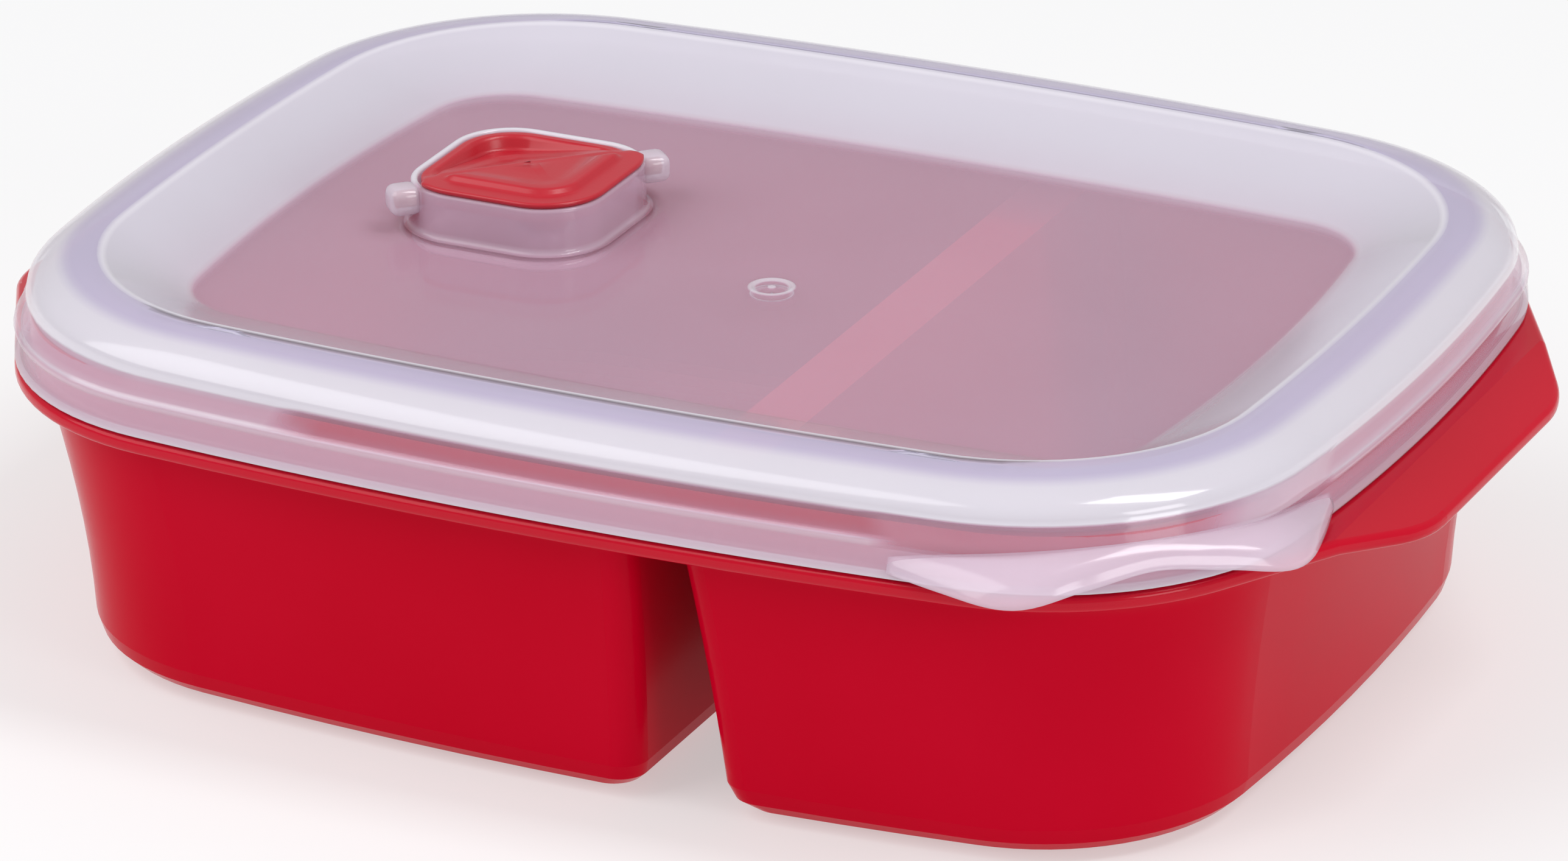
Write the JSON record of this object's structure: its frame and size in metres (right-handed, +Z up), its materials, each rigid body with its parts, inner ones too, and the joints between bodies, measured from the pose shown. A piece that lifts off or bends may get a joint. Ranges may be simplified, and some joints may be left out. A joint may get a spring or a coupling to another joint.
{
  "type": "lunch box",
  "caption": "Microwave lunch box: red divided tub with end handles, clear domed snap lid with a corner pull tab, and a rocking steam vent.",
  "frame": {"origin": "centre of the box in plan, on the surface that it stands on", "axes": "+X along the long side, with the smaller compartment at +X; +Y away from the pull tab's side; +Z up"},
  "size_m": [0.2416, 0.1758, 0.0673],
  "materials": {
    "tub": "glossy moulded polypropylene, opaque red",
    "lid": "glossy natural polypropylene, translucent",
    "vent_cap": "satin moulded polypropylene, opaque red"
  },
  "bodies": {
    "box": {"tub": "tub"},
    "cover": {"lid": "lid"},
    "vent": {"vent_cap": "vent_cap"}
  },
  "joints": [
    {"name": "lid_lift", "type": "slide", "parent": "box", "child": "cover", "axis": [0, 0, 1], "range_m": [0, 0.06]},
    {"name": "vent_rock", "type": "hinge", "parent": "cover", "child": "vent", "pos_m": [-0.046, 0.0056, 0.063], "axis": [-0.7071, -0.7071, 0], "range_deg": [0, 18]}
  ]
}
